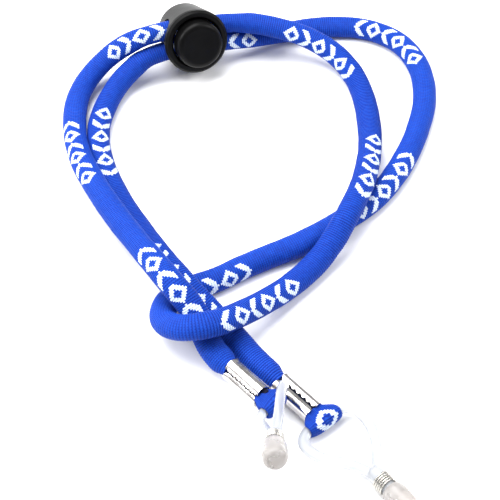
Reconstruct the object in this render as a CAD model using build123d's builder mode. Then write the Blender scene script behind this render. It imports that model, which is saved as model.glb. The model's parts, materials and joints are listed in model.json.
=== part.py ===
from build123d import *
from math import pi, radians, tan
import os

# Eyeglasses chain strap: a knitted tubular cord that lies crossed over itself, with a
# push-button cord lock on both legs and a clear silicone temple loop crimped on each end.
# Millimetres, +Z up, origin on the table under the middle of the fittings.

os.makedirs("parts", exist_ok=True)

# ---------------------------------------------------------------- driving dimensions
CORD_DIAMETER = 5.2          # the knit lies 6.2 wide and 4.8 thick, as a round here
RUN_SHARE = 0.45             # share of the shorter run that an arc takes at a corner

CRIMP_WIDTH = 5.4
CRIMP_HEIGHT = 4.0
CRIMP_LENGTH = 11.0
CRIMP_CORNER = 1.6
CRIMP_SHEET = 0.35
SEAM_GAP = 0.3
TOOTH_PITCH = 1.5
TOOTH_COUNT = 7
TOOTH_SIZE = 0.55

CORE_GAP = 0.05              # between the packed cord end and the crimp's sheet
FOLD_GAP = 0.6               # cord end shows this far before it fans out
FOLD_NECK = 5.4
FOLD_PLATE = 3.2
FOLD_RADIUS = 2.5            # cord wrapped round the silicone
HOLE_CLEARANCE = 0.08

STRAND_DIAMETER = 2.2
STEM_DIAMETER = 3.6
STEM_START = 16.0            # distances out from the hole, along the stem
STRAND_JOIN = 18.0
COIL_START = 18.9
BEAD_START = 22.0
BEAD_LENGTH = 8.0
BEAD_DIAMETER = 5.6
BEAD_ROUND = 1.6
BEAD_BORE_DEPTH = 3.0
BEAD_GLUE_GAP = 0.05
STRAND_SPREAD = 0.5          # half the distance between the strands where they join

WIRE_DIAMETER = 0.5
COIL_RADIUS = 2.1
COIL_PITCH = 0.54
COIL_TURNS = 5.5

LOCK_POSITION = -1.6         # of the lock's middle along the straight legs
LOCK_BASE_RADIUS = 4.2
LOCK_SHOULDER = (7.55, 3.0)   # radius, height
LOCK_WAIST = (8.4, 9.6)
LOCK_RIM = (8.95, 13.6)
LOCK_HEIGHT = 15.2
RIM_ROUND = 0.6
BORE_RADIUS = 6.7
BORE_FLOOR = 2.7
POCKET_RADIUS = 4.6
POCKET_FLOOR = 1.2
SLOT_HEIGHT = 9.6            # of the slot's middle above the lock's base
SLOT_SIZE = (11.2, 5.8)
SLOT_CORNER = 2.4
MOUTH_DEPTH = 6.2            # the slot flares from here outwards, each way
MOUTH_TAPER = 20             # degrees

PLUNGER_RADIUS = 6.5
PLUNGER_FOOT = 5.4
BRIDGE_THICKNESS = 1.3
CAP_FLOOR = 14.5
BUTTON_TOP = 18.8
BUTTON_ROUND = 1.5
SPRING_STUD = (3.0, 1.0)     # radius, length
SPRING_RADIUS = 3.5
SPRING_TURNS = 3

# ---------------------------------------------------------------- the cord's route
# The two straight legs that pass through the lock, left end first.
UPPER_LEG = [(-32.2, 65, 13.3), (-8.7, 73, 10.6)]
LOWER_LEG = [(-32.1, 63, 8.2), (-8.6, 71, 5.5)]

# From the left crimp up to the lock, round both large bights and back to the right crimp.
CORD_ROUTE = [
    (-9.8, -41.6, 4.6), (-14.2, -36.4, 3.8), (-16.6, -31.1, 6.4), (-19.5, -26.8, 9.8),
    (-23.5, -23.3, 12.6), (-27.5, -17.3, 12.4), (-33, -7.8, 9.8), (-39, 2.7, 7.8),
    (-45, 14.2, 6), (-50.5, 27.2, 3.8), (-53, 39.7, 2.6), (-53, 50.7, 2.6),
    (-49, 58.7, 4.6), (-42, 63.7, 8.6),
    *UPPER_LEG,
    (3, 71.7, 9), (11.5, 70, 6.8), (18.5, 66.2, 4.4), (23, 60.2, 3), (25.5, 52.2, 2.6),
    (26.5, 42.7, 2.6), (26.5, 32.7, 3.6), (25, 21.2, 6.2), (22.5, 10.7, 8.6), (19, 2.7, 8.6),
    (15.5, -3.3, 5.8), (10.5, -9.8, 3.2), (3, -17.8, 3.4), (-4.5, -25.3, 6.4),
    (-11, -31.8, 10), (-16.5, -34.8, 11.8), (-22, -34.3, 10.2), (-26, -29.8, 7),
    (-26, -22.8, 4), (-22, -17.3, 2.6), (-14, -14.3, 2.6), (-5.5, -8.8, 2.6),
    (7, -2.8, 2.6), (17.5, 4.7, 2.6), (27, 12.7, 2.6), (34.5, 24.7, 2.6), (40, 38.2, 2.6),
    (43, 51.7, 2.6), (42, 64.2, 2.6), (37, 73.7, 2.6), (27, 79.7, 2.6),
    (14, 79.7, 2.6), (2.5, 75.7, 3.6),
    *reversed(LOWER_LEG),
    (-40.5, 57.7, 3.8), (-45, 47.2, 2.6), (-46.5, 36.7, 2.6), (-44.5, 25.2, 2.6),
    (-39.5, 13.2, 2.6), (-33.5, 1.7, 3.8), (-27.5, -9.8, 6.8), (-22.8, -17.8, 8.7),
    (-18.5, -22.3, 6.6), (-14, -25.8, 3.6), (-9.5, -30.8, 2.6), (-4.6, -37.8, 2.6),
    (1.2, -44, 2.6),
]

# ---------------------------------------------------------------- the two ends
# cord_end: the last two points of the route, which set the crimp's mouth and its axis.
# crimp_roll: degrees that the crimp has turned about its axis, from lying flat, seam up.
# hole and hole_axis: the silicone's way through the fold. The strands and the stem are
# given from the hole as (across, outward, up), where across is along hole_axis.
ENDS = {
    "left": {
        "cord_end": CORD_ROUTE[1::-1],
        "crimp_roll": 60,
        "hole": Vector(-0.7, -52.3, 6.9),
        "hole_axis": Vector(0.63, 0.776, 0),
        "fold_width": 5.8,
        "stem": Vector(-0.637, 0.524, 0.564),
        "strands": [
            (-1, [(0, 0, 0), (-5.6, 0, 0), (-7, 3.2, 1.8)]),
            (1, [(0, 0, 0), (4.4, 0, 0), (4.0, 0.2, 3), (0.9, 1.8, 6.6), (-3.4, 4.8, 8.8),
                 (-7.8, 7.6, 9.2)]),
        ],
    },
    "right": {
        "cord_end": CORD_ROUTE[-2:],
        "crimp_roll": 0,
        "hole": Vector(10.5, -54, 2.8),
        "hole_axis": Vector(0.78, 0.626, 0),
        "fold_width": 8.6,
        "stem": Vector(0, 1, 0),
        "strands": [
            (-1, [(0, 0, 0), (-7.2, 0, 0), (-7.6, 6.2, 0), (-3.4, 11.4, 0), (-0.9, 15.4, 0)]),
            (1, [(0, 0, 0), (7.4, 0, 0), (8.2, 5.6, 0), (6.4, 11, 0), (2.4, 15.4, 0)]),
        ],
    },
}


def corner_radii(points):
    """The largest tangent arc that the runs beside each corner leave room for."""
    radii = []
    for before, corner, after in zip(points, points[1:], points[2:]):
        arriving = Vector(*corner) - Vector(*before)
        leaving = Vector(*after) - Vector(*corner)
        half_turn = radians(arriving.get_angle(leaving)) / 2
        radii.append(RUN_SHARE * min(arriving.length, leaving.length) / tan(half_turn))
    return radii


def start_of(line):
    """The plane square to the start of a line, where its section is drawn."""
    return Plane(origin=line @ 0, z_dir=line % 0)


def finish(piece, name):
    """Label a finished piece and write it to its own file."""
    piece.part.label = name
    export_step(piece.part, f"parts/{name}.step")


# ---------------------------------------------------------------- cord
with BuildPart() as strap_cord:
    with BuildLine():
        cord_line = FilletPolyline(*CORD_ROUTE, radius=corner_radii(CORD_ROUTE))
    with BuildSketch(start_of(cord_line)):
        Circle(CORD_DIAMETER / 2)
    sweep()
finish(strap_cord, "strap_cord")

cord_section = pi * CORD_DIAMETER**2 / 4
print("cord radii", [round(radius, 1) for radius in corner_radii(CORD_ROUTE)])
print("cord length", round(cord_line.length, 1))
print("section x length", round(cord_line.length * cord_section, 1))
print("volume", round(strap_cord.part.volume, 1))


# ---------------------------------------------------------------- crimps and folded ends
def mouth_of(end):
    """The plane of a crimp's mouth: x across the crimp and level, y up, z along it."""
    before, last = (Vector(*point) for point in end["cord_end"])
    along = (last - before).normalized()
    return Plane(origin=last, x_dir=Vector(0, 0, 1).cross(along), z_dir=along)


def rolled_mouth_of(end):
    """The same plane, turned with the crimp."""
    mouth = mouth_of(end)
    x_dir = mouth.x_dir.rotate(Axis((0, 0, 0), mouth.z_dir), end["crimp_roll"])
    return Plane(origin=mouth.origin, x_dir=x_dir, z_dir=mouth.z_dir)


def make_crimp(end):
    """A sheet-metal clamp bent into a box, with the toothed seam along its top."""
    mouth = rolled_mouth_of(end)
    top_middle = Vector(0, CRIMP_HEIGHT / 2, CRIMP_LENGTH / 2)
    seam = Plane(origin=mouth.from_local_coords(top_middle), x_dir=mouth.x_dir,
                 z_dir=mouth.y_dir)
    with BuildPart() as crimp:
        with BuildSketch(mouth):
            RectangleRounded(CRIMP_WIDTH, CRIMP_HEIGHT, CRIMP_CORNER)
            RectangleRounded(CRIMP_WIDTH - 2 * CRIMP_SHEET, CRIMP_HEIGHT - 2 * CRIMP_SHEET,
                             CRIMP_CORNER - CRIMP_SHEET, mode=Mode.SUBTRACT)
        extrude(amount=CRIMP_LENGTH)
        with BuildSketch(seam):
            Rectangle(SEAM_GAP, CRIMP_LENGTH + 1)
            with GridLocations(0, TOOTH_PITCH, 1, TOOTH_COUNT):
                Polygon((0, -TOOTH_SIZE), (TOOTH_SIZE, 0), (0, TOOTH_SIZE), align=None)
        extrude(amount=-2 * CRIMP_SHEET, mode=Mode.SUBTRACT)
    return crimp


def make_cord_end(end):
    """The cord's end: a core packed in the crimp, then a flap wrapped round the silicone."""
    hole_axis = end["hole_axis"].normalized()
    mouth = mouth_of(end)
    neck = mouth.from_local_coords(Vector(0, 0, CRIMP_LENGTH + FOLD_GAP))
    flap = Plane(origin=end["hole"], x_dir=hole_axis,
                 z_dir=(end["hole"] - neck).cross(hole_axis) * -1)
    neck_left = flap.to_local_coords(neck - mouth.x_dir * (FOLD_NECK / 2))
    neck_right = flap.to_local_coords(neck + mouth.x_dir * (FOLD_NECK / 2))
    half_width = end["fold_width"] / 2
    core_inset = 2 * (CRIMP_SHEET + CORE_GAP)
    with BuildPart() as cord_end:
        with BuildSketch(rolled_mouth_of(end)):
            RectangleRounded(CRIMP_WIDTH - core_inset, CRIMP_HEIGHT - core_inset,
                             CRIMP_CORNER - core_inset / 2)
        extrude(amount=CRIMP_LENGTH + 2 * FOLD_GAP)
        with BuildSketch(flap):
            Polygon((neck_left.X, neck_left.Y), (neck_right.X, neck_right.Y),
                    (half_width, 0), (-half_width, 0), align=None)
        extrude(amount=FOLD_PLATE / 2, both=True)
        with BuildSketch(Plane(origin=end["hole"], z_dir=hole_axis)):
            Circle(FOLD_RADIUS)
        extrude(amount=half_width, both=True)
        with BuildSketch(Plane(origin=end["hole"], z_dir=hole_axis)):
            Circle(STRAND_DIAMETER / 2 + HOLE_CLEARANCE)
        extrude(amount=end["fold_width"], both=True, mode=Mode.SUBTRACT)
    return cord_end


# ---------------------------------------------------------------- temple loops
def loop_frame(end):
    """A function that places (across, outward, up) at an end, and the stem's direction."""
    across = end["hole_axis"].normalized()
    outward = across.cross(Vector(0, 0, 1))

    def direction(x, y, z):
        return across * x + outward * y + Vector(0, 0, z)

    stem = direction(*end["stem"]).normalized()
    side = (across - stem * across.dot(stem)).normalized()
    return direction, stem, side


def make_temple_loop(end):
    """Two silicone strands that leave the fold's two ends and join in one stem."""
    direction, stem, side = loop_frame(end)
    with BuildPart() as temple_loop:
        for hand, points in end["strands"]:
            route = [end["hole"] + direction(*point) for point in points]
            route.append(end["hole"] + stem * STRAND_JOIN + side * (hand * STRAND_SPREAD))
            with BuildLine():
                strand = FilletPolyline(*route, radius=corner_radii(route))
            with BuildSketch(start_of(strand)):
                Circle(STRAND_DIAMETER / 2)
            sweep()
            print("strand radii", [round(radius, 1) for radius in corner_radii(route)])
        with BuildSketch(Plane(origin=end["hole"] + stem * STEM_START, z_dir=stem)):
            Circle(STEM_DIAMETER / 2)
        extrude(amount=BEAD_START + BEAD_BORE_DEPTH - BEAD_GLUE_GAP - STEM_START)
    return temple_loop


def make_end_bead(end):
    """The clear bead glued on the stem: it stops the coil."""
    direction, stem, side = loop_frame(end)
    start = end["hole"] + stem * BEAD_START
    with BuildPart() as end_bead:
        with BuildSketch(Plane(origin=start, x_dir=side, z_dir=stem)):
            Circle(BEAD_DIAMETER / 2)
        extrude(amount=BEAD_LENGTH)
        fillet(end_bead.edges().filter_by(GeomType.CIRCLE), BEAD_ROUND)
        with BuildSketch(Plane(origin=start, x_dir=side, z_dir=stem)):
            Circle(STEM_DIAMETER / 2 + BEAD_GLUE_GAP)
        extrude(amount=BEAD_BORE_DEPTH, mode=Mode.SUBTRACT)
    return end_bead


def make_wire_coil(plane, radius, pitch, turns):
    """Round wire wound about the plane's normal."""
    with BuildPart() as coil:
        with BuildLine():
            winding = Helix(pitch=pitch, height=pitch * turns, radius=radius,
                            center=plane.origin, direction=plane.z_dir)
        with BuildSketch(start_of(winding)):
            Circle(WIRE_DIAMETER / 2)
        sweep(is_frenet=True)
    return coil


for name, end in ENDS.items():
    direction, stem, side = loop_frame(end)
    coil_plane = Plane(origin=end["hole"] + stem * COIL_START, x_dir=side, z_dir=stem)
    finish(make_crimp(end), f"crimp_{name}")
    finish(make_cord_end(end), f"cord_end_{name}")
    finish(make_temple_loop(end), f"temple_loop_{name}")
    finish(make_end_bead(end), f"end_bead_{name}")
    finish(make_wire_coil(coil_plane, COIL_RADIUS, COIL_PITCH, COIL_TURNS), f"slider_coil_{name}")

# ---------------------------------------------------------------- cord lock
# The legs lie one above the other in the slot: legs_up points from the lower to the upper,
# and press_axis from the lock's base to its button.
upper_start, upper_end = (Vector(*point) for point in UPPER_LEG)
lower_start, lower_end = (Vector(*point) for point in LOWER_LEG)
legs_along = (upper_end - upper_start).normalized()
legs_middle = (upper_start + upper_end + lower_start + lower_end) * 0.25
legs_apart = upper_start - lower_start
press_axis = legs_along.cross(legs_apart).normalized()
legs_up = press_axis.cross(legs_along)
slot_middle = legs_middle + legs_along * LOCK_POSITION
lock_base = slot_middle - press_axis * SLOT_HEIGHT
half_section = Plane(origin=lock_base, x_dir=legs_along, z_dir=legs_along.cross(press_axis))
press_line = Axis(lock_base, press_axis)
print("lock base", lock_base, "slot middle", slot_middle)
print("legs along", legs_along, "legs up", legs_up, "press axis", press_axis)


def slot_plane(height):
    """Square to the legs, with its middle at a height above the lock's base."""
    return Plane(origin=lock_base + press_axis * height, x_dir=legs_up, z_dir=legs_along)


with BuildPart() as lock_body:
    with BuildSketch(half_section):
        with BuildLine():
            Line((0, 0), (LOCK_BASE_RADIUS, 0))
            TangentArc((LOCK_BASE_RADIUS, 0), LOCK_SHOULDER, tangent=(1, 0))
            Polyline(LOCK_SHOULDER, LOCK_WAIST, LOCK_RIM,
                     (LOCK_RIM[0], LOCK_HEIGHT - RIM_ROUND),
                     (LOCK_RIM[0] - RIM_ROUND, LOCK_HEIGHT),
                     (BORE_RADIUS + RIM_ROUND, LOCK_HEIGHT),
                     (BORE_RADIUS, LOCK_HEIGHT - RIM_ROUND), (BORE_RADIUS, BORE_FLOOR),
                     (POCKET_RADIUS, BORE_FLOOR), (POCKET_RADIUS, POCKET_FLOOR),
                     (0, POCKET_FLOOR), (0, 0))
        make_face()
    revolve(axis=press_line)
    with BuildSketch(slot_plane(SLOT_HEIGHT)):
        RectangleRounded(*SLOT_SIZE, SLOT_CORNER)
    extrude(amount=2 * BORE_RADIUS, both=True, mode=Mode.SUBTRACT)
    for hand in (-1, 1):
        mouth_middle = slot_middle + legs_along * (hand * MOUTH_DEPTH)
        with BuildSketch(Plane(origin=mouth_middle, x_dir=legs_up, z_dir=legs_along * hand)):
            RectangleRounded(*SLOT_SIZE, SLOT_CORNER)
        extrude(amount=BORE_RADIUS / 2, taper=-MOUTH_TAPER, mode=Mode.SUBTRACT)
finish(lock_body, "lock_body")

plunger_slot_floor = PLUNGER_FOOT + BRIDGE_THICKNESS
with BuildPart() as lock_plunger:
    with BuildSketch(Plane(origin=lock_base + press_axis * PLUNGER_FOOT, z_dir=press_axis)):
        Circle(PLUNGER_RADIUS)
    extrude(amount=BUTTON_TOP - PLUNGER_FOOT)
    fillet(lock_plunger.faces().sort_by(press_line)[-1].edges(), BUTTON_ROUND)
    with BuildSketch(slot_plane((plunger_slot_floor + CAP_FLOOR) / 2)):
        RectangleRounded(SLOT_SIZE[0], CAP_FLOOR - plunger_slot_floor, SLOT_CORNER)
    extrude(amount=2 * PLUNGER_RADIUS, both=True, mode=Mode.SUBTRACT)
    with BuildSketch(Plane(origin=lock_base + press_axis * PLUNGER_FOOT, z_dir=press_axis)):
        Circle(SPRING_STUD[0])
    extrude(amount=-SPRING_STUD[1])
finish(lock_plunger, "lock_plunger")

spring_room = PLUNGER_FOOT - POCKET_FLOOR - 1.2 * WIRE_DIAMETER
spring_start = lock_base + press_axis * (POCKET_FLOOR + 0.6 * WIRE_DIAMETER)
spring_plane = Plane(origin=spring_start, x_dir=legs_along, z_dir=press_axis)
finish(make_wire_coil(spring_plane, SPRING_RADIUS, spring_room / SPRING_TURNS, SPRING_TURNS),
       "lock_spring")
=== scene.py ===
import json
from math import acos, asin, atan2, ceil, cos, exp, pi, radians, sin, tau

import bpy
from mathutils import Matrix, Vector, noise
from mathutils.kdtree import KDTree


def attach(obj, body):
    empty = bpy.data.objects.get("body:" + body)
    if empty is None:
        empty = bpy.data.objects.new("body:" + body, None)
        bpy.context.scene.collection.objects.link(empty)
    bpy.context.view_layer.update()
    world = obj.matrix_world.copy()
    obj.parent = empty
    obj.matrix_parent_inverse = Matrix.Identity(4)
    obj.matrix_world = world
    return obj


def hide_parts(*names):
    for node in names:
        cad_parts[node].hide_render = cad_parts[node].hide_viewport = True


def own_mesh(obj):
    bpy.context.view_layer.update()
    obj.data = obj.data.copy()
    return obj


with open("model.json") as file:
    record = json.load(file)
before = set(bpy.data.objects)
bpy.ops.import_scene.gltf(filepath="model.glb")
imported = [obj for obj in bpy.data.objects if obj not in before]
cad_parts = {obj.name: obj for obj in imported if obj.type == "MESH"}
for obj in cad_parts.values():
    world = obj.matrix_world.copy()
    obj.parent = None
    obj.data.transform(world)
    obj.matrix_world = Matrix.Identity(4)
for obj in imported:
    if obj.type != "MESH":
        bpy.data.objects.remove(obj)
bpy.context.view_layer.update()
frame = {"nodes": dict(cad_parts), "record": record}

MM = 0.001
UP = Vector((0, 0, 1))

# ---------------------------------------------------------------- camera
TARGET = Vector((-5.5, -2.3, 0)) * MM
CAMERA_DISTANCE = 325 * MM
CAMERA_ELEVATION = radians(50)
CAMERA_LENS = 93.6

toward_camera = Vector((0, -cos(CAMERA_ELEVATION), sin(CAMERA_ELEVATION)))
camera_data = bpy.data.cameras.new("camera")
camera_data.lens = CAMERA_LENS
camera_data.clip_start = 0.01
camera = bpy.data.objects.new("camera", camera_data)
camera.location = TARGET + toward_camera * CAMERA_DISTANCE
camera.rotation_euler = (-toward_camera).to_track_quat("-Z", "Y").to_euler()
bpy.context.scene.collection.objects.link(camera)
bpy.context.scene.camera = camera

# ---------------------------------------------------------------- the cord's route
# The same points as the CAD tube's, given in millimetres and turned into metres.
UPPER_LEG = [(-32.2, 65, 13.3), (-8.7, 73, 10.6)]
LOWER_LEG = [(-32.1, 63, 8.2), (-8.6, 71, 5.5)]
CORD_ROUTE = [
    (-9.8, -41.6, 4.6), (-14.2, -36.4, 3.8), (-16.6, -31.1, 6.4), (-19.5, -26.8, 9.8),
    (-23.5, -23.3, 12.6), (-27.5, -17.3, 12.4), (-33, -7.8, 9.8), (-39, 2.7, 7.8),
    (-45, 14.2, 6), (-50.5, 27.2, 3.8), (-53, 39.7, 2.6), (-53, 50.7, 2.6),
    (-49, 58.7, 4.6), (-42, 63.7, 8.6),
    *UPPER_LEG,
    (3, 71.7, 9), (11.5, 70, 6.8), (18.5, 66.2, 4.4), (23, 60.2, 3), (25.5, 52.2, 2.6),
    (26.5, 42.7, 2.6), (26.5, 32.7, 3.6), (25, 21.2, 6.2), (22.5, 10.7, 8.6), (19, 2.7, 8.6),
    (15.5, -3.3, 5.8), (10.5, -9.8, 3.2), (3, -17.8, 3.4), (-4.5, -25.3, 6.4),
    (-11, -31.8, 10), (-16.5, -34.8, 11.8), (-22, -34.3, 10.2), (-26, -29.8, 7),
    (-26, -22.8, 4), (-22, -17.3, 2.6), (-14, -14.3, 2.6), (-5.5, -8.8, 2.6),
    (7, -2.8, 2.6), (17.5, 4.7, 2.6), (27, 12.7, 2.6), (34.5, 24.7, 2.6), (40, 38.2, 2.6),
    (43, 51.7, 2.6), (42, 64.2, 2.6), (37, 73.7, 2.6), (27, 79.7, 2.6),
    (14, 79.7, 2.6), (2.5, 75.7, 3.6),
    *reversed(LOWER_LEG),
    (-40.5, 57.7, 3.8), (-45, 47.2, 2.6), (-46.5, 36.7, 2.6), (-44.5, 25.2, 2.6),
    (-39.5, 13.2, 2.6), (-33.5, 1.7, 3.8), (-27.5, -9.8, 6.8), (-22.8, -17.8, 8.7),
    (-18.5, -22.3, 6.6), (-14, -25.8, 3.6), (-9.5, -30.8, 2.6), (-4.6, -37.8, 2.6),
    (1.2, -44, 2.6),
]
CORD_ROUTE = [Vector(point) * MM for point in CORD_ROUTE]

CORD_WIDTH = 6.2 * MM
CORD_THICKNESS = 4.8 * MM
CORD_LEAN = Vector((0, -0.35, 1))     # the flat side faces up and a little forward
CORD_SIDES = 22
WALE_COUNT = 30                       # stitches round the cord
ROW_PITCH = 0.6 * MM                  # one knitted row
ROW_RINGS = 4
ROW_DEPTH = 0.10 * MM
LOCK_SQUEEZE = (5.3 * MM, 5.0 * MM)   # width and thickness inside the lock
SQUEEZE_REACH = (12.5 * MM, 18 * MM)  # full over the lock's travel, gone at the second
CRIMP_GATHER = (4.3 * MM, 3.4 * MM)   # width and thickness where the crimps take hold
GATHER_REACH = 3.5 * MM
LOCK_POSITION = -1.6 * MM

# White figures woven in: where each group starts along the cord, and how far it lies to the
# right of the side that faces forward.
FIGURE_LENGTH = 27 * MM
FIGURE_CELL = 4.5                     # millimetres, as in the figures' map
STITCH = 0.45
CRIMP_SHADE_PLACE = -500                   # on the figures' map: painted shade, near black, on the cord's core inside the crimps
FIGURE_GROUPS = [
    (11, -0.5), (68, -1.0), (121, -0.2), (173, 1.0), (225, -1.2), (280, -0.4), (327, 1.0),
    (384, 0), (446, -0.4), (503, -1.4), (557, -1.6), (612, 0),
]


# ---------------------------------------------------------------- geometry helpers
def spline_points(points, steps=48):
    """Points along the smooth NURBS line that has these control points."""
    curve = bpy.data.curves.new("line", "CURVE")
    curve.dimensions = "3D"
    curve.resolution_u = steps
    spline = curve.splines.new("NURBS")
    spline.points.add(len(points) - 1)
    for control, point in zip(spline.points, points):
        control.co = (*point, 1)
    spline.order_u = 3
    spline.use_endpoint_u = True
    holder = bpy.data.objects.new("line", curve)
    bpy.context.scene.collection.objects.link(holder)
    bpy.context.view_layer.update()
    mesh = bpy.data.meshes.new_from_object(
        holder.evaluated_get(bpy.context.evaluated_depsgraph_get()))
    line = [vertex.co.copy() for vertex in mesh.vertices]
    bpy.data.objects.remove(holder)
    bpy.data.curves.remove(curve)
    bpy.data.meshes.remove(mesh)
    return line


def spaced(line, count):
    """The same line as count + 1 evenly spaced points, and its length."""
    reach = [0.0]
    for start, end in zip(line, line[1:]):
        reach.append(reach[-1] + (end - start).length)
    length = reach[-1]
    result = []
    index = 0
    for step in range(count + 1):
        distance = length * step / count
        while index < len(line) - 2 and reach[index + 1] < distance:
            index += 1
        share = (distance - reach[index]) / max(reach[index + 1] - reach[index], 1e-12)
        result.append(line[index].lerp(line[index + 1], share))
    return result, length


def tangents(line):
    """Unit tangents of an evenly spaced line."""
    result = []
    for index in range(len(line)):
        before = line[max(index - 1, 0)]
        after = line[min(index + 1, len(line) - 1)]
        result.append((after - before).normalized())
    return result


def smooth_step(low, high, value):
    """0 below low, 1 above high, and a smooth way between."""
    share = min(max((value - low) / (high - low), 0), 1)
    return share * share * (3 - 2 * share)


def tube_mesh(name, *tubes):
    """One mesh of closed skins, each over its own rings of points, with a cap at each end."""
    vertices = []
    faces = []
    for rings in tubes:
        first = len(vertices)
        sides = len(rings[0])
        vertices += [point for ring in rings for point in ring]
        for ring in range(len(rings) - 1):
            low = first + ring * sides
            for side in range(sides):
                after = (side + 1) % sides
                faces.append((low + side, low + after, low + sides + after, low + sides + side))
        last = first + (len(rings) - 1) * sides
        faces.append(tuple(reversed(range(first, first + sides))))
        faces.append(tuple(range(last, last + sides)))
    mesh = bpy.data.meshes.new(name)
    mesh.from_pydata(vertices, [], faces)
    mesh.shade_smooth()
    return mesh


def tube_map(ring_count, sides, place):
    """One tube's share of a UV map: place(ring, side, ring_step, side_step) at each corner."""
    corners = []
    for ring in range(ring_count - 1):
        for side in range(sides):
            for ring_step, side_step in ((0, 0), (0, 1), (1, 1), (1, 0)):
                corners += place(ring, side, ring_step, side_step)
    return corners + list(place(0, 0, 0, 0)) * (2 * sides)


def carried_frames(line, normal):
    """A normal and a side for each point of a line, carried along it without twist."""
    frames = []
    for direction in tangents(line):
        normal = (normal - direction * normal.dot(direction)).normalized()
        frames.append((normal, direction.cross(normal)))
    return frames


def oval_rings(line, normal, section, sides=24):
    """Rings round a line; section(share) gives the half sizes along normal and side."""
    rings = []
    for index, (centre, (up, across)) in enumerate(zip(line, carried_frames(line, normal))):
        high, wide = section(index / (len(line) - 1))
        rings.append([centre + up * (high * cos(tau * side / sides))
                      + across * (wide * sin(tau * side / sides)) for side in range(sides)])
    return rings


def add_piece(name, mesh, body, slot, material, *nodes):
    """A visible piece that rides on a body and stands for CAD nodes."""
    piece = bpy.data.objects.new(name, mesh)
    bpy.context.scene.collection.objects.link(piece)
    mesh.materials.clear()
    mesh.materials.append(material)
    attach(piece, body)
    if nodes:
        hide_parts(*nodes)
    return piece


def apply_modifiers(piece):
    """Put the result of a piece's modifiers into its mesh."""
    bpy.context.view_layer.update()
    evaluated = piece.evaluated_get(bpy.context.evaluated_depsgraph_get())
    mesh = bpy.data.meshes.new_from_object(evaluated)
    piece.modifiers.clear()
    piece.data = mesh


# ---------------------------------------------------------------- materials
class Paint:
    """A node material that is built up call by call round one Principled shader."""

    def __init__(self, name, **sockets):
        self.material = bpy.data.materials.new(name)
        self.material.use_nodes = True
        self.tree = self.material.node_tree
        self.shader = self.tree.nodes["Principled BSDF"]
        for socket, value in sockets.items():
            self.set(socket.replace("_", " "), value)

    def set(self, socket, value):
        """Give one of the shader's sockets a value or a link."""
        target = self.shader.inputs[socket]
        if isinstance(value, bpy.types.NodeSocket):
            self.tree.links.new(value, target)
        else:
            target.default_value = value

    def node(self, kind, inputs=(), **settings):
        """A new node with its inputs set or linked, by name or number."""
        node = self.tree.nodes.new("ShaderNode" + kind)
        for name, value in settings.items():
            setattr(node, name, value)
        for socket, value in dict(inputs).items():
            if isinstance(value, bpy.types.NodeSocket):
                self.tree.links.new(value, node.inputs[socket])
            else:
                node.inputs[socket].default_value = value
        return node

    def math(self, operation, *values):
        """The result of one arithmetic node."""
        return self.node("Math", dict(enumerate(values)), operation=operation).outputs[0]

    def noise(self, scale, detail=3.0, roughness=0.5):
        """Noise in the object's own space, features per metre."""
        place = self.node("TexCoord").outputs["Object"]
        inputs = {"Vector": place, "Scale": scale, "Detail": detail, "Roughness": roughness}
        return self.node("TexNoise", inputs).outputs["Fac"]

    def ramp(self, factor, *stops):
        """A colour ramp through (place, colour) stops."""
        node = self.node("ValToRGB", {"Fac": factor})
        elements = node.color_ramp.elements
        while len(elements) < len(stops):
            elements.new(0.5)
        for element, (place, colour) in zip(elements, stops):
            element.position = place
            element.color = (*colour, 1) if len(colour) == 3 else colour
        return node.outputs["Color"]

    def grey(self, factor, low, high):
        """Spread a 0 to 1 factor between two values."""
        inputs = {"Value": factor, "To Min": low, "To Max": high}
        return self.node("MapRange", inputs).outputs["Result"]

    def blend(self, factor, first, second):
        """Mix two colours."""
        node = self.node("Mix", {"Factor": factor}, data_type="RGBA")
        for socket, value in (("A", first), ("B", second)):
            target = [item for item in node.inputs if item.name == socket][2]
            if isinstance(value, bpy.types.NodeSocket):
                self.tree.links.new(value, target)
            else:
                target.default_value = (*value, 1)
        return [item for item in node.outputs if item.name == "Result"][2]

    def bump(self, *layers):
        """Stack bumps of (height, depth in metres) onto the shader's normal."""
        normal = None
        for height, depth in layers:
            inputs = {"Height": height, "Distance": depth}
            if normal is not None:
                inputs["Normal"] = normal
            normal = self.node("Bump", inputs).outputs["Normal"]
        self.set("Normal", normal)


def figure_mask(paint, along, around):
    """1 on the white figures: diamonds and chevrons by turns, stepped by the stitches."""
    def both(*masks):
        result = masks[0]
        for mask in masks[1:]:
            result = paint.math("MULTIPLY", result, mask)
        return result

    stitched = [paint.math("SNAP", value, STITCH) for value in (along, around)]
    place, height = stitched[0], paint.math("ABSOLUTE", stitched[1])
    number = paint.math("FLOOR", paint.math("DIVIDE", place, FIGURE_CELL))
    middle = paint.math("MULTIPLY", paint.math("ADD", number, 0.5), FIGURE_CELL)
    offset = paint.math("SUBTRACT", place, middle)
    odd = paint.math("GREATER_THAN", paint.math("PINGPONG", number, 1), 0.5)
    reach = paint.math("ADD", paint.math("ABSOLUTE", offset), height)
    diamond = both(paint.math("LESS_THAN", reach, 2.5), paint.math("GREATER_THAN", reach, 0.95),
                   paint.math("SUBTRACT", 1, odd))
    slanted = paint.math("ADD", offset, paint.math("MULTIPLY", height, 0.9))
    chevron = both(paint.math("LESS_THAN", paint.math("ABSOLUTE",
                              paint.math("SUBTRACT", slanted, 0.9)), 0.85), odd)
    inside = both(paint.math("GREATER_THAN", place, -0.1),
                  paint.math("LESS_THAN", place, FIGURE_LENGTH / MM),
                  paint.math("LESS_THAN", height, 2.3))
    return both(inside, paint.math("ADD", diamond, chevron))


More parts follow.
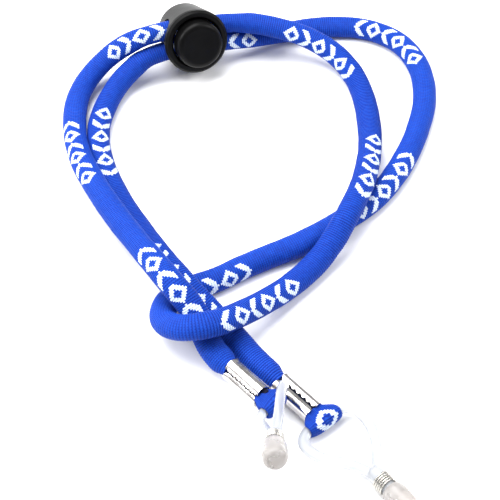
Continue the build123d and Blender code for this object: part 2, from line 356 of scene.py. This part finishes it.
def knit_material():
    """Royal blue polyester knit: rows across, wales along, white figures woven in, and painted
    shade on the core inside the crimps.
    """
    paint = Paint("cord_knit", Sheen_Weight=0.04, Sheen_Roughness=0.4, Specular_IOR_Level=0.12)
    rows = paint.node("SeparateXYZ", {0: paint.node("UVMap", uv_map="knit").outputs[0]})
    figures = paint.node("SeparateXYZ", {0: paint.node("UVMap", uv_map="figures").outputs[0]})
    along, around = rows.outputs["X"], rows.outputs["Y"]
    wale = paint.math("PINGPONG", around, 0.5)
    slant = paint.math("ADD", along, paint.math("MULTIPLY", wale, 0.5))
    ridge = paint.math("ABSOLUTE", paint.math("SINE", paint.math("MULTIPLY", slant, pi)))
    thread = paint.math("MULTIPLY", ridge, paint.grey(wale, 0.55, 1.0))
    uneven = paint.noise(900, 4, 0.6)
    broad = paint.noise(60, 2, 0.5)
    tone = paint.math("ADD", paint.math("MULTIPLY", thread, 0.7),
                      paint.math("MULTIPLY", uneven, 0.4))
    blue = paint.ramp(tone, (0.1, (0.0003, 0.004, 0.07)), (0.5, (0.003, 0.036, 0.32)),
                      (1.0, (0.014, 0.108, 0.62)))
    shade = paint.blend(paint.grey(broad, 0, 0.35), blue, (0.002, 0.024, 0.28))
    white = paint.ramp(tone, (0.1, (0.20, 0.32, 0.60)), (0.55, (0.66, 0.73, 0.82)))
    mask = figure_mask(paint, figures.outputs["X"], figures.outputs["Y"])
    # painted shade: the cord's core inside the crimps goes near black, so the seam looks dark
    painted_crimp_shade = paint.math("LESS_THAN", figures.outputs["X"], CRIMP_SHADE_PLACE + 1)
    knitted = paint.blend(mask, shade, white)
    paint.set("Base Color", paint.blend(painted_crimp_shade, knitted, (0.002, 0.003, 0.018)))
    paint.set("Roughness", paint.grey(uneven, 0.5, 0.75))
    paint.bump((thread, 0.10 * MM), (uneven, 0.04 * MM))
    return paint.material


def nickel_material():
    """Bright nickel plate with fine draw marks."""
    paint = Paint("crimp_metal", Metallic=1.0)
    marks = paint.noise(1500, 5, 0.7)
    dull = paint.noise(300, 3, 0.6)
    paint.set("Base Color", paint.ramp(dull, (0.3, (0.46, 0.44, 0.43)), (0.7, (0.72, 0.70, 0.69))))
    paint.set("Roughness", paint.grey(marks, 0.10, 0.26))
    paint.bump((marks, 0.006 * MM))
    return paint.material


def wire_material(name, tint):
    """Drawn steel wire."""
    paint = Paint(name, Metallic=1.0)
    marks = paint.noise(2500, 4, 0.6)
    low = tuple(0.75 * channel for channel in tint)
    paint.set("Base Color", paint.ramp(marks, (0.3, low), (0.7, tint)))
    paint.set("Roughness", paint.grey(marks, 0.18, 0.34))
    paint.bump((marks, 0.004 * MM))
    return paint.material


def silicone_material(name, tint, roughness):
    """Clear silicone with a milky haze."""
    paint = Paint(name, Transmission_Weight=0.62, IOR=1.41, Specular_IOR_Level=0.5)
    haze = paint.noise(250, 3, 0.5)
    warm = tuple(0.92 * channel for channel in tint)
    paint.set("Base Color", paint.ramp(haze, (0.3, tint), (0.7, warm)))
    paint.set("Roughness", paint.grey(haze, roughness, roughness + 0.10))
    paint.bump((paint.noise(500, 2, 0.5), 0.01 * MM))
    return paint.material


def plastic_material(name, tone, roughness):
    """Black moulded plastic with a fine spark-eroded grain."""
    paint = Paint(name, Specular_IOR_Level=0.1)
    grain = paint.noise(3500, 4, 0.6)
    wear = paint.noise(180, 3, 0.6)
    dark = tuple(0.7 * tone for _ in range(3))
    light = (tone * 1.3, tone * 1.3, tone * 1.4)
    paint.set("Base Color", paint.ramp(wear, (0.35, dark), (0.7, light)))
    paint.set("Roughness", paint.grey(wear, roughness, roughness + 0.14))
    paint.bump((grain, 0.012 * MM))
    return paint.material


knit = knit_material()
nickel = nickel_material()
coil_steel = wire_material("coil_wire", (0.62, 0.60, 0.56))
spring_steel = wire_material("spring_steel", (0.70, 0.70, 0.70))
silicone = silicone_material("silicone", (0.66, 0.68, 0.72), 0.14)
bead_silicone = silicone_material("silicone_bead", (0.68, 0.64, 0.61), 0.22)
body_plastic = plastic_material("lock_plastic", 0.0035, 0.32)
button_plastic = plastic_material("button_plastic", 0.002, 0.30)


# ---------------------------------------------------------------- cord
upper_start, upper_end = (Vector(point) * MM for point in UPPER_LEG)
lower_start, lower_end = (Vector(point) * MM for point in LOWER_LEG)
legs_along = (upper_end - upper_start).normalized()
press_axis = legs_along.cross(upper_start - lower_start).normalized()
lock_middle = ((upper_start + upper_end + lower_start + lower_end) / 4
               + legs_along * LOCK_POSITION)


def cord_section(place, distance, length):
    """Width and thickness of the cord at one place."""
    width, thickness = CORD_WIDTH, CORD_THICKNESS
    width *= 1 + 0.05 * noise.noise(place * 55)
    thickness *= 1 + 0.05 * noise.noise(place * 48 + UP)
    squeeze = 1 - smooth_step(*SQUEEZE_REACH, (place - lock_middle).length)
    width += (LOCK_SQUEEZE[0] - width) * squeeze
    thickness += (LOCK_SQUEEZE[1] - thickness) * squeeze
    near_end = min(distance, length - distance)
    gather = 1 - smooth_step(0, GATHER_REACH, near_end)
    width += (CRIMP_GATHER[0] - width) * gather
    thickness += (CRIMP_GATHER[1] - thickness) * gather
    return width, thickness


def contact_planes(centres, spacing):
    """For each centre near another stretch of cord, the plane midway between the two."""
    apart = int(14 * MM / spacing)
    tree = KDTree(len(centres))
    for index, centre in enumerate(centres):
        tree.insert(centre, index)
    tree.balance()
    planes = {}
    for index, centre in enumerate(centres):
        others = {}
        for point, other, distance in tree.find_range(centre, 6.6 * MM):
            side = (other > index) if abs(other - index) > apart else None
            if side is not None and distance < others.get(side, (1,))[0]:
                others[side] = (distance, point)
        if others:
            planes[index] = [((centre + point) / 2, (point - centre).normalized())
                             for distance, point in others.values()]
    return planes


def make_cord():
    """The knitted tube: rows as rings that swell and pinch, flattened where it touches itself."""
    line = spline_points(CORD_ROUTE)
    rough_length = spaced(line, len(line))[1]
    rows = ceil(rough_length / ROW_PITCH)
    centres, length = spaced(line, rows * ROW_RINGS)
    directions = tangents(centres)
    spacing = length / (rows * ROW_RINGS)
    planes = contact_planes(centres, spacing)
    rings = []
    frames = []
    for index, (centre, direction) in enumerate(zip(centres, directions)):
        distance = index * spacing
        normal = (CORD_LEAN - direction * CORD_LEAN.dot(direction)).normalized()
        across = direction.cross(normal)
        width, thickness = cord_section(centre, distance, length)
        row = ROW_DEPTH * (abs(sin(pi * index / ROW_RINGS)) - 0.5)
        ring = []
        for side in range(CORD_SIDES):
            angle = tau * side / CORD_SIDES
            lump = 0.03 * noise.noise(centre * 260 + Vector((cos(angle), sin(angle), 0)))
            reach_out = normal * (cos(angle) * (thickness / 2 + row))
            reach_side = across * (sin(angle) * (width / 2 + row))
            point = centre + (reach_out + reach_side) * (1 + lump)
            for middle, facing in planes.get(index, ()):
                excess = (point - middle).dot(facing) + 0.05 * MM
                if excess > 0:
                    point = point - facing * excess
            point.z = max(point.z, 0.02 * MM)
            ring.append(point)
        rings.append(ring)
        frames.append((normal, across))
    mesh = tube_mesh("strap_cord", rings)
    add_cord_maps(mesh, len(rings), spacing, frames)
    piece = add_piece("knitted_cord", mesh, "strap", "cord_knit", knit, "strap_cord")


def add_cord_maps(mesh, ring_count, spacing, frames):
    """The knit's own map, in rows and wales, and the figures' map, in millimetres."""
    girth = pi * (CORD_WIDTH + CORD_THICKNESS) / 2 / MM
    starts = [start * MM for start, shift in FIGURE_GROUPS]
    middles = []
    for start, shift in FIGURE_GROUPS:
        index = min(int((start * MM + FIGURE_LENGTH / 2) / spacing), ring_count - 1)
        normal, across = frames[index]
        facing = atan2(toward_camera.dot(across), toward_camera.dot(normal))
        middles.append(facing + asin(shift * MM / (CORD_WIDTH / 2)))

    def knit_place(ring, side, ring_step, side_step):
        return (ring + ring_step) / ROW_RINGS, WALE_COUNT * (side + side_step) / CORD_SIDES

    def figure_place(ring, side, ring_step, side_step):
        group = min(range(len(starts)),
                    key=lambda item: abs(starts[item] + FIGURE_LENGTH / 2 - ring * spacing))
        turned = (tau * side / CORD_SIDES - middles[group] + pi) % tau - pi
        return (((ring + ring_step) * spacing - starts[group]) / MM,
                (turned / tau + side_step / CORD_SIDES) * girth)

    for name, place in (("knit", knit_place), ("figures", figure_place)):
        corners = tube_map(ring_count, CORD_SIDES, place)
        mesh.uv_layers.new(name=name).data.foreach_set("uv", corners)


make_cord()

# ---------------------------------------------------------------- the two ends
CRIMP_WIDTH, CRIMP_HEIGHT, CRIMP_CORNER = 5.4 * MM, 4.0 * MM, 1.6 * MM
CRIMP_LENGTH = 11.0 * MM
CRIMP_SHEET = 0.35 * MM
SEAM_GAP = 0.3 * MM
TOOTH_COUNT = 7
SEAM_DIP, SEAM_DIP_WIDTH = 0.25 * MM, 0.7 * MM
TOOTH_DEPTH = 0.34 * MM
STRAND_JOIN, STRAND_SPREAD = 18 * MM, 0.5 * MM
STEM_START, STEM_RADIUS = 16 * MM, 1.8 * MM
COIL_START, COIL_RADIUS, COIL_PITCH, COIL_TURNS = 18.9 * MM, 2.1 * MM, 0.54 * MM, 5.5
BEAD_START, BEAD_LENGTH, BEAD_RADIUS = 22 * MM, 8 * MM, 2.8 * MM
WIRE_RADIUS = 0.25 * MM
MELT_VOXEL = 0.2 * MM
FOLD_LAYER = 1.3 * MM                 # thickness of the flattened cord
FOLD_RADIUS = 1.8 * MM                # of the middle of the layer, round the silicone
FOLD_SIDES = 44
FOLD_NECK, FOLD_SWELL = 2.1 * MM, 0.2 * MM

# The strands' points are (across, outward, up) from the hole, as in the CAD.
ENDS = {
    "left": {
        "cord_end": CORD_ROUTE[1::-1], "crimp_roll": 60, "fold_width": 5.8 * MM,
        "strands": [
            (-1, [(0, 0, 0), (-5.6, 0, 0), (-7, 3.2, 1.8)]),
            (1, [(0, 0, 0), (4.4, 0, 0), (4.0, 0.2, 3), (0.9, 1.8, 6.6), (-3.4, 4.8, 8.8),
                 (-7.8, 7.6, 9.2)]),
        ],
    },
    "right": {
        "cord_end": CORD_ROUTE[-2:], "crimp_roll": 0, "fold_width": 8.6 * MM,
        "strands": [
            (-1, [(0, 0, 0), (-7.2, 0, 0), (-7.6, 6.2, 0), (-3.4, 11.4, 0), (-0.9, 15.4, 0)]),
            (1, [(0, 0, 0), (7.4, 0, 0), (8.2, 5.6, 0), (6.4, 11, 0), (2.4, 15.4, 0)]),
        ],
    },
}
joint_records = {joint["name"]: joint for joint in frame["record"]["behaviour"]["joints"]}
for end_name, end in ENDS.items():
    swing = joint_records[f"loop_{end_name}_swing"]
    end["hole"] = Vector(swing["pos_m"])
    end["across"] = -Vector(swing["axis"]).normalized()
    end["stem"] = -Vector(joint_records[f"coil_{end_name}_slide"]["axis"]).normalized()
    end["mouth"] = end["cord_end"][1]
    end["along"] = (end["cord_end"][1] - end["cord_end"][0]).normalized()
    end["level"] = UP.cross(end["along"]).normalized()


def crimp_outline(seam_half):
    """The bent sheet's section, from one edge of the seam round to the other."""
    flat_x, flat_y = CRIMP_WIDTH / 2 - CRIMP_CORNER, CRIMP_HEIGHT / 2 - CRIMP_CORNER
    top = [(seam_half + (flat_x - seam_half) * step / 5, CRIMP_HEIGHT / 2) for step in range(5)]
    outline = list(top)
    for x_sign, y_sign, start in ((1, 1, 90), (1, -1, 0), (-1, -1, -90), (-1, 1, -180)):
        for step in range(9):
            angle = radians(start - 90 * step / 8)
            outline.append((x_sign * flat_x + CRIMP_CORNER * cos(angle),
                            y_sign * flat_y + CRIMP_CORNER * sin(angle)))
    outline += [(-x, y) for x, y in reversed(top)]
    return outline


def make_crimp(end_name, end):
    """A nickel clamp: sheet bent into two rolls that meet in a toothed seam."""
    steps = 10 * TOOTH_COUNT
    turn = Matrix.Rotation(radians(end["crimp_roll"]), 3, end["along"])
    x_axis = turn @ end["level"]
    y_axis = turn @ end["along"].cross(end["level"])
    vertices = []
    for step in range(steps + 1):
        distance = CRIMP_LENGTH * step / steps
        near_end = min(distance, CRIMP_LENGTH - distance)
        opening = 0.5 * MM * (1 - smooth_step(0, 0.8 * MM, near_end))
        tooth = abs(step / 5 % 2 - 1) * TOOTH_DEPTH
        flare = 1 + 0.05 * (1 - smooth_step(0, 1.2 * MM, distance))
        outline = crimp_outline(SEAM_GAP / 2 + opening)
        for index, (x, y) in enumerate(outline):
            if index == 0:
                x += tooth
            if index == len(outline) - 1:
                x -= 0.4 * (TOOTH_DEPTH - tooth)
            if y > 0:
                y -= SEAM_DIP * exp(-((x / SEAM_DIP_WIDTH) ** 2))
            place = end["mouth"] + end["along"] * distance
            vertices.append(place + (x_axis * x + y_axis * y) * flare)
    columns = len(crimp_outline(SEAM_GAP / 2))
    faces = []
    for step in range(steps):
        for column in range(columns - 1):
            corner = step * columns + column
            faces.append((corner, corner + columns, corner + columns + 1, corner + 1))
    mesh = bpy.data.meshes.new(f"crimp_{end_name}")
    mesh.from_pydata(vertices, [], faces)
    mesh.shade_smooth()
    piece = add_piece(f"nickel_crimp_{end_name}", mesh, "strap", "crimp_metal", nickel,
                      f"crimp_{end_name}")
    sheet = piece.modifiers.new("sheet", "SOLIDIFY")
    sheet.thickness = CRIMP_SHEET
    sheet.offset = -1
    edge = piece.modifiers.new("edge", "BEVEL")
    edge.width = 0.03 * MM
    edge.segments = 2
    edge.limit_method = "ANGLE"
    edge.angle_limit = radians(50)
    apply_modifiers(piece)


def fold_rings(end):
    """The flattened cord that leaves the crimp, wraps round the silicone and comes back."""
    across = end["across"]
    neck = end["mouth"] + end["along"] * CRIMP_LENGTH
    to_hole = end["hole"] - neck
    skew = to_hole.dot(across)
    outward = (to_hole - across * skew).normalized()
    reach = (to_hole - across * skew).length
    upward = across.cross(outward)
    if upward.z < 0:
        upward = -upward
    turn = acos((FOLD_RADIUS - FOLD_LAYER / 2) / reach) * 0.9
    route = [(-reach, FOLD_LAYER / 2), (-reach * 0.8, FOLD_LAYER / 2 + 0.1 * MM)]
    route += [(FOLD_RADIUS * cos(angle), FOLD_RADIUS * sin(angle))
              for angle in (turn * (1 - share / 8) for share in range(17))]
    route += [(x, -y) for x, y in reversed(route[:2])]
    line = [end["hole"] + outward * x + upward * y for x, y in route]
    smooth_line = spline_points(line, 24)
    line, length = spaced(smooth_line, 26 * ROW_RINGS)
    rings = []
    for index, (centre, direction) in enumerate(zip(line, tangents(line))):
        spread = smooth_step(-reach - 0.8 * MM, -0.1 * reach,
                             (centre - end["hole"]).dot(outward))
        wide_way = end["level"].lerp(across, spread).normalized()
        thick_way = direction.cross(wide_way).normalized()
        half = FOLD_NECK + (end["fold_width"] / 2 + FOLD_SWELL - FOLD_NECK) * spread
        centre = centre - across * (skew * (1 - spread))
        row = 0.06 * MM * (abs(sin(pi * index / ROW_RINGS)) - 0.5)
        ring = []
        for side in range(FOLD_SIDES):
            angle = tau * side / FOLD_SIDES
            wide = (abs(cos(angle)) ** 0.7) * (1 if cos(angle) > 0 else -1)
            pleat = 0.22 * MM * (1 - spread) * cos(wide * 9) if abs(wide) < 0.95 else 0
            thick = FOLD_LAYER / 2 * sin(angle) * (1.05 - 0.25 * abs(wide) ** 3)
            ring.append(centre + wide_way * (wide * half * (1 + row / half))
                        + thick_way * (thick + (row + pleat) * sin(angle)))
        rings.append(ring)
    return rings, length


def make_cord_end(end_name, end):
    """The cord's end: packed through the crimp, then folded round the silicone."""
    turn = Matrix.Rotation(radians(end["crimp_roll"]), 3, end["along"])
    x_axis = turn @ end["level"]
    core_line = [end["mouth"] + end["along"] * (CRIMP_LENGTH * step / 30) for step in range(34)]
    half_high = CRIMP_HEIGHT / 2 - CRIMP_SHEET - 0.45 * MM
    half_wide = CRIMP_WIDTH / 2 - CRIMP_SHEET - 0.12 * MM
    core = oval_rings(core_line, end["along"].cross(x_axis), lambda share: (half_high, half_wide),
                      FOLD_SIDES)
    fold, length = fold_rings(end)
    mesh = tube_mesh(f"cord_end_{end_name}", core, fold)
    figure_start = -0.16 * length / MM if end_name == "right" else 50

    def knit_place(ring, side, ring_step, side_step):
        return (ring + ring_step) / ROW_RINGS, WALE_COUNT * (side + side_step) / FOLD_SIDES

    # painted shade: every corner of the core inside the crimp takes the dark painted-shade place
    def crimp_shade_place(ring, side, ring_step, side_step):
        return CRIMP_SHADE_PLACE, 0

    def figure_place(ring, side, ring_step, side_step):
        along = (ring + ring_step) / (len(fold) - 1) * length / MM
        turned = cos(tau * (side + side_step) / FOLD_SIDES) * end["fold_width"] / 2 / MM
        upper = side + side_step < FOLD_SIDES / 2
        return along + figure_start, turned if upper else -50

    knit_map = (tube_map(len(core), FOLD_SIDES, knit_place)
                + tube_map(len(fold), FOLD_SIDES, knit_place))
    figure_map = (tube_map(len(core), FOLD_SIDES, crimp_shade_place)
                  + tube_map(len(fold), FOLD_SIDES, figure_place))
    mesh.uv_layers.new(name="knit").data.foreach_set("uv", knit_map)
    mesh.uv_layers.new(name="figures").data.foreach_set("uv", figure_map)
    add_piece(f"folded_end_{end_name}", mesh, "strap", "cord_knit", knit,
              f"cord_end_{end_name}")


def make_temple_loop(end_name, end):
    """Two soft strands that leave the fold and melt into one stem."""
    across, stem, hole = end["across"], end["stem"], end["hole"]
    outward = across.cross(UP)
    side_way = (across - stem * across.dot(stem)).normalized()
    tubes = []
    for hand, points in end["strands"]:
        route = [hole + (across * x + outward * y + UP * z) * MM for x, y, z in points]
        route.append(hole + stem * STRAND_JOIN + side_way * (hand * STRAND_SPREAD))
        line = spaced(spline_points(route), 90)[0]
        tubes.append(oval_rings(line, stem.cross(side_way),
                                lambda share: (1.1 * MM, (1.1 + 0.25 * sin(pi * share)) * MM)))
    stem_end = BEAD_START + 2.9 * MM
    stem_line = [hole + stem * (STEM_START + (stem_end - STEM_START) * step / 30)
                 for step in range(31)]
    tubes.append(oval_rings(stem_line, side_way,
                            lambda share: [STEM_RADIUS * min(1, 0.35 + 6 * share)] * 2))
    piece = add_piece(f"clear_loop_{end_name}", tube_mesh(f"loop_{end_name}", *tubes),
                      f"loop_{end_name}", "silicone", silicone, f"temple_loop_{end_name}")
    melt = piece.modifiers.new("melt", "REMESH")
    melt.mode = "VOXEL"
    melt.voxel_size = MELT_VOXEL
    relax = piece.modifiers.new("relax", "SMOOTH")
    relax.iterations = 8
    apply_modifiers(piece)
    piece.data.shade_smooth()
    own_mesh(piece)


def make_end_bead(end_name, end):
    """A rounded clear bead on the stem's end, with a faint parting line."""
    start = end["hole"] + end["stem"] * BEAD_START
    line = [start + end["stem"] * (BEAD_LENGTH * (1 - cos(pi * step / 40)) / 2)
            for step in range(41)]

    def section(share):
        place = (1 - cos(pi * share)) / 2
        edge = 1 - abs(2 * place - 1) ** 5
        parting = 0.02 * exp(-(((place - 0.5) / 0.02) ** 2))
        return [BEAD_RADIUS * (0.62 * edge ** 0.5 + 0.36 + parting)] * 2

    rings = oval_rings(line, end["across"], section, 40)
    piece = add_piece(f"clear_bead_{end_name}", tube_mesh(f"bead_{end_name}", rings),
                      f"loop_{end_name}", "silicone_bead", bead_silicone, f"end_bead_{end_name}")
    soften = piece.modifiers.new("soften", "SUBSURF")
    soften.levels = 1
    apply_modifiers(piece)


def coil_line(start, axis, radius, pitch, turns, tail=0.0):
    """A helix about an axis, with its last end bent outwards."""
    first_way = axis.orthogonal().normalized()
    second_way = axis.cross(first_way)
    line = []
    for step in range(ceil(turns * 40) + 1):
        angle = tau * step / 40
        line.append(start + axis * (pitch * step / 40)
                    + (first_way * cos(angle) + second_way * sin(angle)) * radius)
    if tail:
        last_way = (line[-1] - line[-2]).normalized()
        line += [line[-1] + last_way * (tail * step / 6) for step in range(1, 7)]
    return line


def make_wire_coil(end_name, end):
    """Fine wire wound round the stem, with one end sprung free."""
    line = coil_line(end["hole"] + end["stem"] * COIL_START, end["stem"], COIL_RADIUS,
                     COIL_PITCH, COIL_TURNS, 0.9 * MM)
    rings = oval_rings(line, end["stem"], lambda share: [WIRE_RADIUS * 0.92] * 2, 12)
    add_piece(f"wire_coil_{end_name}", tube_mesh(f"coil_{end_name}", rings),
              f"coil_{end_name}", "coil_wire", coil_steel, f"slider_coil_{end_name}")


for end_name, end in ENDS.items():
    make_crimp(end_name, end)
    make_cord_end(end_name, end)
    make_temple_loop(end_name, end)
    make_end_bead(end_name, end)
    make_wire_coil(end_name, end)

# ---------------------------------------------------------------- lock spring
SLOT_HEIGHT = 9.6 * MM                # of the slot's middle above the lock's base
SPRING_START, SPRING_RADIUS = 1.5 * MM, 3.5 * MM
SPRING_PITCH, SPRING_TURNS = 1.2 * MM, 3


def make_spring():
    """The spring under the button, as a fixed coil that rides with the lock."""
    start = lock_middle + press_axis * (SPRING_START - SLOT_HEIGHT)
    line = coil_line(start, press_axis, SPRING_RADIUS, SPRING_PITCH, SPRING_TURNS)
    rings = oval_rings(line, press_axis, lambda share: [WIRE_RADIUS] * 2, 12)
    piece = add_piece("press_spring", tube_mesh("spring", rings), "lock", "spring_steel",
                      spring_steel, "lock_spring")
    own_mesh(piece)


make_spring()

# ---------------------------------------------------------------- CAD nodes that stay
node_materials = {"lock_body": body_plastic, "lock_plunger": button_plastic}
for node_name, node_material in node_materials.items():
    for material_slot in frame["nodes"][node_name].material_slots:
        material_slot.material = node_material

# ---------------------------------------------------------------- floor and light
FLOOR_SIZE = 3.0
WORLD_STRENGTH = 0.5


def make_floor():
    """A plain pale studio floor."""
    half = FLOOR_SIZE / 2
    mesh = bpy.data.meshes.new("floor")
    corners = [(-half, -half, 0), (half, -half, 0), (half, half, 0), (-half, half, 0)]
    mesh.from_pydata(corners, [], [(0, 1, 2, 3)])
    paint = Paint("floor", Roughness=0.7)
    paint.set("Base Color", paint.ramp(paint.noise(4, 2), (0, (0.93, 0.93, 0.93)),
                                       (1, (0.95, 0.95, 0.95))))
    mesh.materials.append(paint.material)
    floor = bpy.data.objects.new("floor", mesh)
    bpy.context.scene.collection.objects.link(floor)


def add_softbox(name, place, size, power):
    """A square area light aimed at the object."""
    data = bpy.data.lights.new(name, "AREA")
    data.shape = "SQUARE"
    data.size = size
    data.energy = power
    light = bpy.data.objects.new(name, data)
    light.location = Vector(place)
    light.rotation_euler = (TARGET - light.location).to_track_quat("-Z", "Y").to_euler()
    bpy.context.scene.collection.objects.link(light)


make_floor()
add_softbox("top", (-0.25, 0.25, 0.9), 0.9, 19)
add_softbox("left", (-0.8, -0.1, 0.55), 0.35, 7)
add_softbox("right", (0.75, 0.1, 0.6), 0.35, 5)
world = bpy.data.worlds.new("studio")
world.use_nodes = True
world.node_tree.nodes["Background"].inputs["Color"].default_value = (1, 1, 1, 1)
world.node_tree.nodes["Background"].inputs["Strength"].default_value = WORLD_STRENGTH
bpy.context.scene.world = world
bpy.context.scene.view_settings.view_transform = "Standard"
